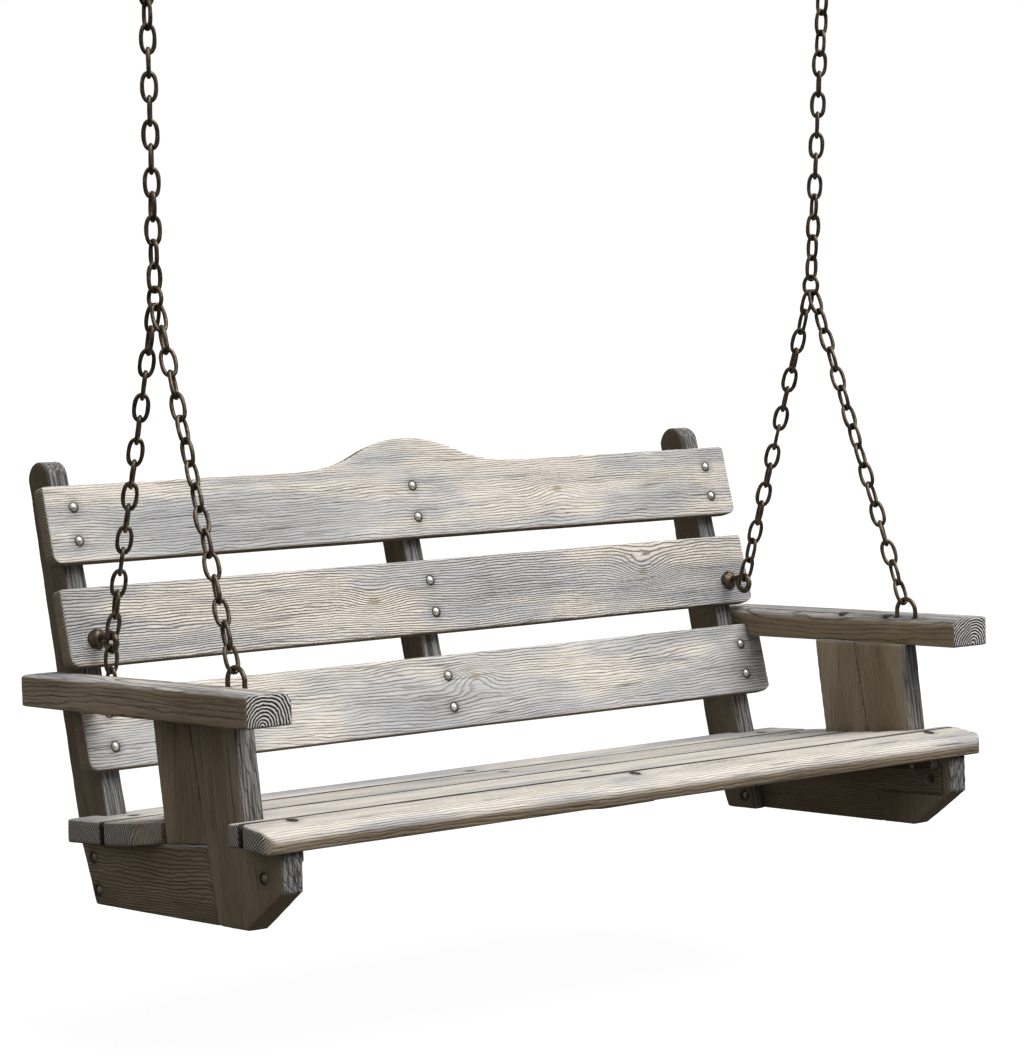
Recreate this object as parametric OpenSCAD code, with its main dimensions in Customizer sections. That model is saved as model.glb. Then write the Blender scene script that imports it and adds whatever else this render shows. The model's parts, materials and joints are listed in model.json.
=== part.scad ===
// Porch swing: a five-foot slatted bench on four chain legs, hung from two ceiling hooks.
// Row frame: +Z up, +X to the sitter's left as seen from the front, the front faces -Y.
// Origin: on the ceiling, half way between the two hooks.
// Bench frame: same axes, origin at the middle of the bottom back board's lower front edge.

/* [Back] */
// Length of the three back boards
back_w = 1524; // [1500:1:1540]
// Height of each back board
board_h = 130; // [125:1:135]
// Thickness of each back board
board_t = 28; // [26:1:32]
// Open gap between two back boards
board_gap = 40; // [36:1:44]
// Lean of the back from the vertical, degrees
back_tilt = 14; // [13:0.5:15]
// Rise of the crown in the middle of the top board
crown_h = 50; // [40:1:55]
// Half width of the crown, where it runs out into the board's straight top
crown_half_w = 235; // [220:1:260]
// Width of a back post, seen from the front
post_w = 40; // [38:1:40]
// Depth of an end post at its top
post_top_d = 62; // [58:1:66]
// Depth of an end post where it meets the seat
post_foot_d = 86; // [82:1:90]

/* [Seat] */
// Half the length of the four seat boards
seat_half_w = 790; // [785:1:800]
// Thickness of the three rear seat boards
seat_t = 38; // [34:1:38]
// Thickness of the front seat board at its rear edge
nose_t = 40; // [38:1:42]
// Gap between neighbouring seat boards
seat_gap = 5; // [3:0.5:6]

/* [Side frames] */
// Distance from the middle of the bench to the inner face of a side frame
side_x = 714; // [714:1:716]
// Thickness of the side rails and the arm uprights
side_t = 40; // [38:1:42]
// Height of the side rails' lower edge in the bench frame
rail_bottom_z = -215; // [-220:1:-210]

/* [Arms] */
// Width of an arm
arm_w = 86; // [84:1:90]
// Thickness of an arm
arm_t = 52; // [50:1:52]
// Height of the arms' top face in the bench frame
arm_top_z = 155; // [153:1:155]
// Front end of the arms in the bench frame
arm_front_y = -496; // [-500:1:-490]
// Rear end of the arms in the bench frame
arm_rear_y = 116; // [114:1:118]

/* [Chains] */
// Wire diameter of the chain
wire_d = 6.4; // [6:0.1:6.6]
// Inside length of one link
pitch = 37; // [36.5:0.5:37.5]
// Inside width of one link
link_in_w = 13.2; // [13:0.1:14]
// Links in each upper chain, an even number
upper_links = 14; // [14:2:16]
// Links in each front leg
front_links = 16; // [16:1:16]
// Links in each rear leg
rear_links = 15; // [15:1:15]
// Links in the loose tail below the left rear eye
tail_links = 2; // [1:1:2]
// Half the distance between the two junction rings
ring_x = 723; // [720:1:726]
// Junction rings in front of the bench's origin
ring_y = -170; // [-180:1:-160]
// Lean of the whole bench from the rings, which puts its centre of mass straight below them
bench_lean = 3.45; // [0:0.05:6]

/* [Ceiling hooks] */
// Half the distance between the two ceiling hooks
hook_x = 740; // [736:1:744]
// Shank diameter of a ceiling hook
shank_d = 10; // [10:0.5:10]
// Length of shank that goes up into the beam
shank_len = 70; // [60:1:80]

/* [Hidden] */
$fn = 48;
e = 1;                 // overshoot of a cutting shape
deep = 60;             // depth of a cutting shape that has to leave the wood
far = 300;             // beyond the edge of whatever a broad shape cuts
clear = 0.1;           // radial clearance of a fastener in its hole
play = 0.1;            // gap between two links that hang in each other

WOOD = [0.55, 0.51, 0.46];
WOOD_PALE = [0.70, 0.65, 0.58];
IRON = [0.24, 0.20, 0.16];
ZINC = [0.72, 0.70, 0.66];

// ---- places in the bench frame ------------------------------------------------
// Lower edge of each back board, measured up the back
board_s = [0, board_h + board_gap, 2 * (board_h + board_gap)];
back_top_s = board_s[2] + board_h;
frame_overlap = 13;                        // an end post's outer face, outside a side frame's inner face
post_x = side_x + frame_overlap - post_w / 2;  // middle of an end post
post_top_s = back_top_s + 52;
centre_post_s = [15, back_top_s + 15];     // the centre post's two ends
centre_post_d = 62;

// Seat contour: the upper edge of each board as [y, z], rear then front
seat_1 = [[36, -75], [-63, -72]];
seat_2 = [[-63 - seat_gap, -72], [-244, -58]];
seat_3 = [[-244 - seat_gap, -58], [-435, -44]];
nose_rear = [-435 - seat_gap, -44];
nose_break = [-478, -50];                  // where the front board starts to roll over
nose_front_y = -506;
nose_bottom_z = -88;

function unit(v) = v / norm(v);
// The point below p, square to the board whose upper edge runs p to q
function under(p, q, t) = let(d = unit(q - p)) p + t * [-d[1], d[0]];
function under_rear(b, t) = under(b[0], b[1], t);
function under_front(b, t) = under_rear(b, t) + b[1] - b[0];
u1r = under_rear(seat_1, seat_t);
u1f = under_front(seat_1, seat_t);
u2r = under_rear(seat_2, seat_t);
u2f = under_front(seat_2, seat_t);
u3r = under_rear(seat_3, seat_t);
u3f = under_front(seat_3, seat_t);
unr = nose_rear - [0, nose_t];
unf = [nose_front_y + 2, nose_bottom_z];

// Slanting edges of the uprights, as [y at the top, y at the bottom] with their heights
arm_bottom_z = arm_top_z - arm_t;
rear_edge = [[-166, arm_bottom_z], [-191, -102]];
seam = [[-262, arm_bottom_z], [-324, rail_bottom_z]];
front_edge = [[-381, arm_bottom_z], [-402, -83]];
rail_rear = [[50, -95], [12, rail_bottom_z]];
rail_front_y = -492;
chamfer_top_z = -150;
chamfer_bottom_y = -400;
tongue = [[-470, -158], [-300, -105]];     // corners of the rail's tongue in the upright
arm_in_x = side_x + frame_overlap;
arm_out_x = arm_in_x + arm_w;

// Bolts through the side frames, as [y, z]
post_bolts = [[14, -140], [3, -192]];
tongue_bolt = [-444, -131];
frame_bolt_yz = [post_bolts[0], post_bolts[1], tongue_bolt];

// ---- chains and their end fittings ---------------------------------------------
wire_r = wire_d / 2;
bend_r = (link_in_w + wire_d) / 2;
link_span = pitch + wire_d;                // crown to crown, on the wire's middle line
step = pitch - play;                       // from one link to the next
// Capital R is the radius to the middle of a bent bar, and small r the radius of the bar itself
ring_R = 17;
ring_r = 3.5;
u_R = 22;
u_r = 4;
eye_R = 14;
eye_r = 5;
eye_out = 40;                              // eye's middle in front of the back boards
eye_x = post_x;
u_bolt_x = 739;
u_bolt_y = -372;
u_bolt_rise = 8;                           // bow's middle above the arm
hook_R = 17;
hook_r = shank_d / 2;
collar_r = 13;
collar_t = 5;
hook_neck = 14;                            // from the collar to the top of the hook's bend
neck_r = hook_r + 1.5;
neck_lap = 2;                              // the neck's end inside the bend
hook_angle = 290;                          // how far round the hook's bar goes
hook_z = -collar_t - hook_neck - 2 * hook_R;   // middle of the wire the chain hangs on

function run_len(n) = n * step + 2 * wire_r + play;   // first to last crown of n links
ring_in = ring_R - ring_r - wire_r - play;
u_in = u_R - u_r - wire_r - play;
eye_in = eye_R - eye_r - wire_r - play;
front_D = run_len(front_links) + ring_in + u_in;
rear_D = run_len(rear_links) + ring_in + eye_in;
u_bolt_c = [u_bolt_x, u_bolt_y, arm_top_z + u_bolt_rise];
ring_z = u_bolt_c[2] + sqrt(pow(front_D, 2) - pow(u_bolt_x - ring_x, 2) - pow(ring_y - u_bolt_y, 2));
ring_c = [ring_x, ring_y, ring_z];
// The same ring seen square to the back: [distance behind its front face, height up it]
ring_back = [ring_y * cos(back_tilt) - ring_z * sin(back_tilt),
    ring_y * sin(back_tilt) + ring_z * cos(back_tilt)];
eye_s = ring_back[1] - sqrt(pow(rear_D, 2) - pow(eye_x - ring_x, 2) - pow(ring_back[0] + eye_out, 2));
function back_point(x, d, s) = [x, d * cos(back_tilt) + s * sin(back_tilt),
    s * cos(back_tilt) - d * sin(back_tilt)];
eye_c = back_point(eye_x, -eye_out, eye_s);

// Upper chain: from the hook's wire to the ring's middle
hook_to_crown = hook_r + wire_r + play;
upper_D = run_len(upper_links) - hook_to_crown - (ring_r + wire_r + play) + ring_R;
upper_drop = sqrt(pow(upper_D, 2) - pow(hook_x - ring_x, 2));
ring_row = [ring_x, 0, hook_z - upper_drop];
// A point of the bench in the row frame
function in_row(p) = let(y = p[1] - ring_y, z = p[2] - ring_z) [p[0],
    y * cos(bench_lean) + z * sin(bench_lean), ring_row[2] - y * sin(bench_lean) + z * cos(bench_lean)];

// ---- frames and helpers ---------------------------------------------------------
module in_bench() translate([0, 0, ring_row[2]]) rotate([-bench_lean, 0, 0])
    translate([0, -ring_y, -ring_z]) children();
module on_back() rotate([-back_tilt, 0, 0]) children();
module both_sides() { children(); mirror([1, 0, 0]) children(); }
// Extrudes a [y, z] outline from x0 to x1
module plate(x0, x1) translate([x0, 0, 0]) rotate([90, 0, 90]) linear_extrude(x1 - x0) children();
// A round bar or bore along Y from a point
module bore_y(p, r, l) translate(p) rotate([-90, 0, 0]) cylinder(r = r, h = l);
// Takes the corner at the origin off a board's outline, with the board in +x +y
module corner_off(r) difference() { translate([-e, -e]) square(r + e); translate([r, r]) circle(r); }
module seat_outline(b) polygon([b[0], b[1], under_front(b, seat_t), under_rear(b, seat_t)]);

// ---- chain pieces -----------------------------------------------------------------
// A link in the XZ plane that hangs from its upper crown at the origin
module half_bend() rotate([90, 0, 0]) rotate_extrude(angle = 180) translate([bend_r, 0]) circle(wire_r);
module link() {
    straight = link_span - 2 * bend_r;
    translate([0, 0, -bend_r]) half_bend();
    translate([0, 0, -bend_r - straight]) mirror([0, 0, 1]) half_bend();
    for (x = [-bend_r, bend_r])
        translate([x, 0, -bend_r - straight]) cylinder(r = wire_r, h = straight);
}
// Turns -Z to point along d
module aim(d) rotate([asin(unit(d)[1]), atan2(-unit(d)[0], -unit(d)[2]), 0]) children();
// Links number a to b of a run whose first crown is at p; turn is the first link's roll
module run(p, d, a, b, turn, turn_step)
    translate(p) aim(d) for (i = [a:b])
        translate([0, 0, -(i - 1) * step]) rotate([0, 0, turn + (i - 1) * turn_step]) link();
// Roll from link to link that ends n links with a whole number of half turns
function link_turn(n) = n % 2 == 1 ? 90 : 90 * n / (n - 1);

hook_wire = [hook_x, 0, hook_z];
upper_dir = unit(ring_row - hook_wire);
upper_start = hook_wire - hook_to_crown * upper_dir;
module upper_run(a, b) color(IRON) run(upper_start, upper_dir, a, b, 90, 90);
module left_side() mirror([1, 0, 0]) children();

module junction_ring() color(IRON) translate(ring_row) rotate([0, 90, 0])
    rotate_extrude() translate([ring_R, 0]) circle(ring_r);
module front_chain() color(IRON) in_bench() {
    d = unit(u_bolt_c - ring_c);
    run(ring_c + ring_in * d, d, 1, front_links, 0, link_turn(front_links));
}
module rear_chain() color(IRON) in_bench() {
    d = unit(eye_c - ring_c);
    run(ring_c + ring_in * d, d, 1, rear_links, 0, link_turn(rear_links));
}
module left_chain_tail() color(IRON) left_side()
    run(in_row(eye_c) - [0, 0, eye_in], [0, 0, -1], 1, tail_links, 0, 90);

module ceiling_hook() color(IRON) translate([hook_x, 0, 0]) {
    cylinder(r = hook_r, h = shank_len);
    translate([0, 0, -collar_t]) cylinder(r = collar_r, h = collar_t);
    translate([0, 0, -collar_t - hook_neck - neck_lap]) cylinder(r = neck_r, h = hook_neck + neck_lap);
    translate([0, 0, hook_z + hook_R]) rotate([90, 0, 0]) rotate([0, 0, 90])
        rotate_extrude(angle = -hook_angle) translate([hook_R, 0]) circle(hook_r);
}

module arm_u_bolt() color(IRON) in_bench() translate(u_bolt_c) {
    rotate([0, 0, 90]) rotate([90, 0, 0]) rotate_extrude(angle = 180) translate([u_R, 0]) circle(u_r);
    for (y = [-u_R, u_R]) translate([0, y, -u_leg]) cylinder(r = u_r, h = u_leg);
}
// Both legs end in pockets in the arm's underside
u_pocket = 14;
u_pocket_r = 8.8;
u_washer_r = 8.4;
u_washer_t = 2;
u_nut_across = 13;
u_nut_t = 6.5;
thread_out = 3;                            // thread that shows behind a nut
u_leg = u_bolt_rise + arm_t - u_pocket + u_washer_t + u_nut_t + thread_out;
module at_u_legs() for (y = [-u_R, u_R])
    translate([u_bolt_x, u_bolt_y + y, arm_bottom_z + u_pocket]) mirror([0, 0, 1]) children();
module u_bolt_washers() color(ZINC) in_bench() both_sides() at_u_legs()
    flat_washer(u_washer_r, u_r, u_washer_t);
module u_bolt_nuts() color(ZINC) in_bench() both_sides() at_u_legs()
    translate([0, 0, u_washer_t]) hex_nut(u_nut_across, u_nut_t, u_r);

// ---- fasteners ----------------------------------------------------------------------
module hex_nut(across, t, r) difference() {
    cylinder(r = across / 2 / cos(30), h = t, $fn = 6);
    translate([0, 0, -e]) cylinder(r = r + clear, h = t + 2 * e);
}
module flat_washer(ro, r, t) difference() {
    cylinder(r = ro, h = t);
    translate([0, 0, -e]) cylinder(r = r + clear, h = t + 2 * e);
}
// A round-headed bolt along +Z, with the underside of its head at the origin
module dome_bolt(r, l, head_r, head_h) {
    ball = (pow(head_r, 2) + pow(head_h, 2)) / (2 * head_h);
    cylinder(r = r, h = l);
    mirror([0, 0, 1]) intersection() {
        translate([0, 0, head_h - ball]) sphere(ball);
        cylinder(r = ball, h = head_h);
    }
}
// A countersunk screw along -Z, with its head's top face at the origin
screw_r = 2.5;
screw_head_r = 4.6;
screw_head_t = 4;
screw_point = 6;
screw_tip_r = 0.6;
module wood_screw(l) {
    translate([0, 0, -screw_head_t]) cylinder(r1 = screw_r, r2 = screw_head_r, h = screw_head_t);
    translate([0, 0, screw_point - l]) cylinder(r = screw_r, h = l - screw_point - screw_head_t);
    translate([0, 0, -l]) cylinder(r1 = screw_tip_r, r2 = screw_r, h = screw_point);
}
screw_hole_end = 0.5;                      // the hole goes on this far past the screw's point
screw_hole_rise = 9;                       // and this far above its head
hair = 0.01;                               // lap between two cutting shapes
module screw_hole(l) {
    translate([0, 0, -screw_head_t])
        cylinder(r1 = screw_r + clear, r2 = screw_head_r + clear, h = screw_head_t);
    translate([0, 0, -hair]) cylinder(r = screw_head_r + clear, h = screw_hole_rise);
    translate([0, 0, -l - screw_hole_end]) cylinder(r = screw_r + clear, h = l);
}

// ---- back ---------------------------------------------------------------------------
bolt_r = 3;
bolt_pair = 28;                            // bolts sit this far above and below a board's middle
bolt_seat = 16;                            // nuts are sunk this deep in the posts' rear edges
bolt_head_r = 7;
bolt_head_h = 4;
nut_pocket_r = 9.5;
post_foot_s = -60;                         // an end post is post_foot_d deep at this height up the back
function mid_s(i) = board_s[i] + board_h / 2;
function post_d(s) = post_top_d + (post_foot_d - post_top_d) * (back_top_s - s) / (back_top_s - post_foot_s);
// Back bolts as [x, s, depth of the post there]
end_bolts = [for (i = [0, 2], k = [-1, 1]) [post_x, mid_s(i) + k * bolt_pair, post_d(mid_s(i))]];
centre_bolts = [for (i = [0, 1, 2], k = [-1, 1]) [0, mid_s(i) + k * bolt_pair, centre_post_d]];
// Distance from the boards' front face to the seat of the nut
function nut_at(b) = board_t + b[2] - bolt_seat;
module at_back_bolts() for (b = concat(end_bolts, [for (b = end_bolts) [-b[0], b[1], b[2]]], centre_bolts))
    translate([b[0], 0, b[1]]) rotate([-90, 0, 0]) { $grip = nut_at(b); children(); }
washer_r = 8;
washer_t = 1.6;
nut_across = 10;
nut_t = 5;
module back_bolts() color(ZINC) in_bench() on_back() at_back_bolts()
    dome_bolt(bolt_r, $grip + washer_t + nut_t + 2, bolt_head_r, bolt_head_h);
module back_bolt_washers() color(ZINC) in_bench() on_back() at_back_bolts()
    translate([0, 0, $grip]) flat_washer(washer_r, bolt_r, washer_t);
module back_bolt_nuts() color(ZINC) in_bench() on_back() at_back_bolts()
    translate([0, 0, $grip + washer_t]) hex_nut(nut_across, nut_t, bolt_r);
module back_bolt_holes() at_back_bolts() {
    translate([0, 0, -e]) cylinder(r = bolt_r + clear, h = $grip + 2 * e);
    translate([0, 0, $grip]) cylinder(r = nut_pocket_r, h = deep);
}

// Eye bolts through the middle board and the end posts; the eye hangs below its shank's end
eye_shank_r = 5;
eye_lap = 1;                               // how far the shank and the eye's wire are let into each other
eye_bolt_s = eye_s + eye_R - eye_lap;
eye_seat = 22;                             // their nuts are sunk this deep
eye_grip = board_t + post_d(eye_bolt_s) - eye_seat;
eye_washer_r = 12;
eye_washer_t = 2.5;
eye_nut_across = 17;
eye_nut_t = 8;
eye_thread_out = 5;
eye_pocket_r = 13;
boss_r = 17;
boss_t = 12;
boss_c = 4;                                // middle of the boss's ball behind the board's front face
module at_eyes() both_sides() translate([eye_x, 0, eye_bolt_s]) rotate([-90, 0, 0]) children();
module back_eye_bolt() color(IRON) in_bench() on_back() {
    translate([eye_x, -eye_out, eye_s]) rotate([0, 90, 0])
        rotate_extrude() translate([eye_R, 0]) circle(eye_r);
    translate([eye_x, -eye_out + eye_lap, eye_bolt_s]) {
        rotate([-90, 0, 0])
            cylinder(r = eye_shank_r, h = eye_out - eye_lap + eye_grip + eye_nut_t + eye_thread_out);
        sphere(eye_shank_r);
    }
}
module eye_bolt_bosses() color(IRON) in_bench() on_back() at_eyes() difference() {
    intersection() {
        translate([0, 0, boss_c]) sphere(boss_r);
        translate([0, 0, -boss_t]) cylinder(r = boss_r, h = boss_t);
    }
    translate([0, 0, -boss_t - e]) cylinder(r = eye_shank_r + clear, h = boss_t + 2 * e);
}
module eye_bolt_washers() color(ZINC) in_bench() on_back() at_eyes()
    translate([0, 0, eye_grip]) flat_washer(eye_washer_r, eye_shank_r, eye_washer_t);
module eye_bolt_nuts() color(ZINC) in_bench() on_back() at_eyes()
    translate([0, 0, eye_grip + eye_washer_t]) hex_nut(eye_nut_across, eye_nut_t, eye_shank_r);
module eye_holes() at_eyes() {
    translate([0, 0, -e]) cylinder(r = eye_shank_r + clear, h = eye_grip + 2 * e);
    translate([0, 0, eye_grip]) cylinder(r = eye_pocket_r, h = deep);
}

// Outline of a back board in [x, s], with rounded ends
board_low_r = 18;
board_high_r = 8;
module board_outline(s0) difference() {
    translate([-back_w / 2, s0]) square([back_w, board_h]);
    for (m = [0, 1]) mirror([m, 0]) {
        translate([-back_w / 2, s0]) corner_off(board_low_r);
        translate([-back_w / 2, s0 + board_h]) mirror([0, 1]) corner_off(board_high_r);
    }
}
crown_sum = (pow(crown_half_w, 2) + pow(crown_h, 2)) / (2 * crown_h);   // of the two arcs' radii
crown_r = 0.45 * crown_sum;
cove_r = crown_sum - crown_r;
cap_c = [0, back_top_s + crown_h - crown_r];
cove_c = [crown_half_w, back_top_s + cove_r];
crown_lap = 10;                            // the crown's outline reaches this far down the board
meet = cap_c + (cove_c - cap_c) * crown_r / crown_sum;
module crown_outline() {
    difference() {
        polygon([[-crown_half_w, back_top_s - crown_lap], [-crown_half_w, back_top_s],
            [-meet[0], meet[1]], meet,
            [crown_half_w, back_top_s], [crown_half_w, back_top_s - crown_lap]]);
        for (m = [0, 1]) mirror([m, 0]) translate(cove_c) circle(cove_r, $fn = 240);
    }
    intersection() {
        translate(cap_c) circle(crown_r, $fn = 240);
        translate([-meet[0], meet[1] - e]) square([2 * meet[0], crown_h]);
    }
}
// Turns an [x, s] outline into a board whose front face is the back's front plane
module on_face() translate([0, board_t, 0]) rotate([90, 0, 0]) linear_extrude(board_t) children();
module back_board(i) color(WOOD_PALE) in_bench() on_back() difference() {
    on_face() { board_outline(board_s[i]); if (i == 2) crown_outline(); }
    back_bolt_holes();
    if (i == 1) eye_holes();
}

// End post, in [distance behind the boards' front face, height up the back]
module post_outline() {
    kink_s = -62;                          // where the rear edge turns in towards the foot
    end = [66, -235];                      // depth and height of the foot before it is cut flat
    top_r = post_top_d / 2;
    rear_d = board_t + post_top_d;
    polygon([[board_t, post_top_s - top_r], [board_t, end[1]], [board_t + end[0], end[1]],
        [board_t + post_d(kink_s), kink_s], [rear_d, back_top_s], [rear_d, post_top_s - top_r]]);
    translate([board_t + top_r, post_top_s - top_r]) circle(top_r);
}
module end_post() color(WOOD) in_bench() difference() {
    on_back() plate(post_x - post_w / 2, post_x + post_w / 2) post_outline();
    // flat foot, and the lap that takes the rail
    translate([post_x - post_w, -far, rail_bottom_z - deep]) cube([2 * post_w, 2 * far, deep]);
    plate(side_x, side_x + side_t) rail_blank();
    on_back() { back_bolt_holes(); eye_holes(); }
    frame_bolt_holes();
    arm_post_holes();
    translate([side_x - foot_seat, 0, 0]) frame_nut_pockets();
}
module centre_back_post() color(WOOD) in_bench() on_back() difference() {
    translate([-post_w / 2, board_t, centre_post_s[0]])
        cube([post_w, centre_post_d, centre_post_s[1] - centre_post_s[0]]);
    back_bolt_holes();
}

// ---- side frames ---------------------------------------------------------------------
// Everything under the seat boards and behind the seam
module rail_blank() polygon([[rail_rear[0][0] + 14, u1r[1]], u1r, u1f, u2r, u2f, u3r,
    [-300, -92], [-400, -92], [-400, rail_bottom_z], rail_rear[1]]);
module behind_seam() polygon([seam[0], seam[1], seam[1] - [0, deep], [far, rail_bottom_z - deep],
    [far, arm_bottom_z]]);
module rail_outline() intersection() {
    polygon([[rail_rear[0][0], u1r[1]], u1r, u1f, u2r, u2f, u3r, u3f, [u3f[0], rail_bottom_z], rail_rear[1]]);
    behind_seam();
}
module tongue_outline() translate(tongue[0]) square(tongue[1] - tongue[0]);
module side_rail() color(WOOD) in_bench() difference() {
    union() {
        plate(side_x, side_x + side_t) rail_outline();
        plate(side_x, side_x + side_t / 2) tongue_outline();
    }
    frame_bolt_holes();
    cleat_screw_holes();
    dowel_holes();
}
module rear_upright() color(WOOD) in_bench() difference() {
    plate(side_x, side_x + side_t) difference() {
        polygon([rear_edge[0], [rear_edge[1][0] - 4, -120], [-330, -120], seam[0]]);
        rail_outline();
        front_mask();
    }
    dowel_holes();
    arm_screw_holes();
}
// Everything in front of the seam
module front_mask() polygon([seam[0], seam[1], [-2 * far, rail_bottom_z], [-2 * far, arm_bottom_z]]);
module front_upright() color(WOOD) in_bench() difference() {
    plate(side_x, side_x + side_t)
        polygon([seam[0], front_edge[0], front_edge[1], [front_edge[1][0], u3_at(front_edge[1][0])], u3f,
            [u3f[0], unr[1]], unr, [rail_front_y, un_at(rail_front_y)], [rail_front_y, chamfer_top_z],
            [chamfer_bottom_y, rail_bottom_z], seam[1]]);
    plate(side_x - e, side_x + side_t / 2) tongue_outline();
    frame_bolt_holes();
    cleat_screw_holes();
    dowel_holes();
    arm_screw_holes();
}
// Height of the third board's underside, and of the front board's, at a given y
function line_at(p, q, y) = p[1] + (q[1] - p[1]) * (y - p[0]) / (q[0] - p[0]);
function u3_at(y) = line_at(u3r, u3f, y);
function un_at(y) = line_at(unr, unf, y);

// Bolts through the side frames: heads sunk in the outer faces, nuts on the inner faces
frame_r = 4;
head_sink = 4;
frame_head_r = 9;
frame_head_h = 4;
foot_seat = 14;                            // the posts' nuts, inside the side frame's inner face
frame_washer_r = 10;
frame_washer_t = 2;
frame_nut_across = 13;
frame_nut_t = 6.5;
frame_pocket_r = 11;
module at_frame_bolts() for (p = frame_bolt_yz)
    translate([side_x + side_t - head_sink, p[0], p[1]]) rotate([0, -90, 0]) {
        $in = side_t - head_sink + (p == tongue_bolt ? 0 : foot_seat);
        children();
    }
module frame_bolt_holes() both_sides() at_frame_bolts() {
    translate([0, 0, -deep]) cylinder(r = frame_head_r + 1, h = deep);
    cylinder(r = frame_r + clear, h = side_t + deep);
}
// Pockets for the nuts in the inner faces of the posts' feet
module frame_nut_pockets() for (p = post_bolts)
    translate([-deep, p[0], p[1]]) rotate([0, 90, 0]) cylinder(r = frame_pocket_r, h = deep);
module frame_bolts() color(IRON) in_bench() both_sides() at_frame_bolts()
    dome_bolt(frame_r, $in + frame_washer_t + frame_nut_t + thread_out, frame_head_r, frame_head_h);
module frame_bolt_washers() color(IRON) in_bench() both_sides() at_frame_bolts()
    translate([0, 0, $in]) flat_washer(frame_washer_r, frame_r, frame_washer_t);
module frame_bolt_nuts() color(IRON) in_bench() both_sides() at_frame_bolts()
    translate([0, 0, $in + frame_washer_t]) hex_nut(frame_nut_across, frame_nut_t, frame_r);

// Hidden dowels: two join the uprights edge to edge, two stand the rear one on the rail
dowel_r = 5;
dowel_l = 60;
edge_dowels = [[-275, 50], [-290, -30]];
foot_dowels = [-212, -270];
foot_dowel_z = -98;                        // middle of their length
dowel_x = side_x + side_t / 2;
module dowel_shapes(r, l) both_sides() {
    for (p = edge_dowels) bore_y([dowel_x, p[0] - l / 2, p[1]], r, l);
    for (y = foot_dowels) translate([dowel_x, y, foot_dowel_z - l / 2]) cylinder(r = r, h = l);
}
module upright_dowels() color(WOOD_PALE) in_bench() dowel_shapes(dowel_r, dowel_l);
module dowel_holes() dowel_shapes(dowel_r + 0.05, dowel_l + 2);

// ---- arms ------------------------------------------------------------------------------
notch = 1;                                 // room round a board, a post or an upright in its notch
arm_soft_r = 20;                           // inner upper edge of an arm, seen from its end
arm_hard_r = 7;                            // its outer upper edge
module arm() color(WOOD_PALE) in_bench() difference() {
    translate([0, arm_rear_y, 0]) rotate([90, 0, 0]) linear_extrude(arm_rear_y - arm_front_y) difference() {
        translate([arm_in_x, arm_bottom_z]) square([arm_w, arm_t]);
        translate([arm_in_x, arm_top_z]) mirror([0, 1]) corner_off(arm_soft_r);
        translate([arm_out_x, arm_top_z]) mirror([1, 0]) mirror([0, 1]) corner_off(arm_hard_r);
    }
    // notch round the end of the bottom back board
    on_back() translate([arm_in_x - e, -notch, board_h / 2])
        cube([back_w / 2 + notch - arm_in_x + e, board_t + 2 * notch, board_h / 2 + notch]);
    at_u_legs() {
        translate([0, 0, -arm_t]) cylinder(r = u_r + clear, h = arm_t + e);
        cylinder(r = u_pocket_r, h = u_pocket + e);
    }
    arm_screw_holes();
    arm_post_holes();
}

head_depth = 2;                            // how deep the arms' screws are sunk
arm_screw_x = side_x + 27;
arm_screw_y = [-215, -325];
arm_screw_l = 100;
module at_arm_screws() for (y = arm_screw_y)
    translate([arm_screw_x, y, arm_top_z - head_depth]) children();
module arm_screws() color(IRON) in_bench() both_sides() at_arm_screws() wood_screw(arm_screw_l);
module arm_screw_holes() both_sides() at_arm_screws() screw_hole(arm_screw_l);
arm_post_y = 90;
arm_post_z = [116, 142];
arm_post_l = 90;
module at_arm_post() for (z = arm_post_z)
    translate([post_x - post_w / 2 + head_depth, arm_post_y, z]) rotate([0, -90, 0]) children();
module arm_post_screws() color(IRON) in_bench() both_sides() at_arm_post() wood_screw(arm_post_l);
module arm_post_holes() both_sides() at_arm_post() screw_hole(arm_post_l);

// ---- seat ------------------------------------------------------------------------------
below = -130;                              // a height under all the seat boards
upright_notch_y = [rear_edge[1][0] + 6, front_edge[1][0] - 2];
module upright_notch() plate(side_x - notch, side_x + side_t + notch)
    polygon([[upright_notch_y[0], below], [upright_notch_y[0] + 2, 0],
        [upright_notch_y[1], 0], [upright_notch_y[1], below]]);
module post_notch() plate(post_x - post_w / 2 - notch, post_x + post_w / 2 + notch)
    polygon([[post_front_y(below) - notch, below], [post_front_y(0) - notch, 0], [deep, 0], [deep, below]]);
// The end posts' front face, which is the back boards' rear face carried down
function post_front_y(z) = z * tan(back_tilt) + board_t / cos(back_tilt);
// Cuts a seat board's corner in plan: corner at [x, y], radius r, dx and dy towards the board
module plan_corner(x, y, r, dy) translate([x, y, -far]) mirror([1, 0, 0]) mirror([0, dy < 0 ? 1 : 0, 0])
    linear_extrude(far) corner_off(r);
bevel = 52;                                // side of the square block that cuts the bevel
lean_room = 10;                            // a board's front face leans forward less than this
module seat_body() plate(-seat_half_w, seat_half_w) children();
module seat_board_1_rear() color(WOOD_PALE) in_bench() difference() {
    seat_body() seat_outline(seat_1);
    both_sides() { post_notch(); plan_corner(seat_half_w, seat_1[0][0], 10, -1); }
    seat_screw_holes();
}
module seat_board_2() color(WOOD_PALE) in_bench() difference() {
    seat_body() seat_outline(seat_2);
    both_sides() {
        upright_notch();
        // the rear end in front of the upright is cut off, and its corner is bevelled
        translate([seat_half_w, upright_notch_y[0], -far]) rotate([0, 0, 45])
            cube([bevel, bevel, 2 * far], center = true);
        translate([side_x - notch, seat_2[1][0] - lean_room, -far])
            cube([far, upright_notch_y[0] + e - seat_2[1][0] + lean_room, far]);
    }
    seat_screw_holes();
}
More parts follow.
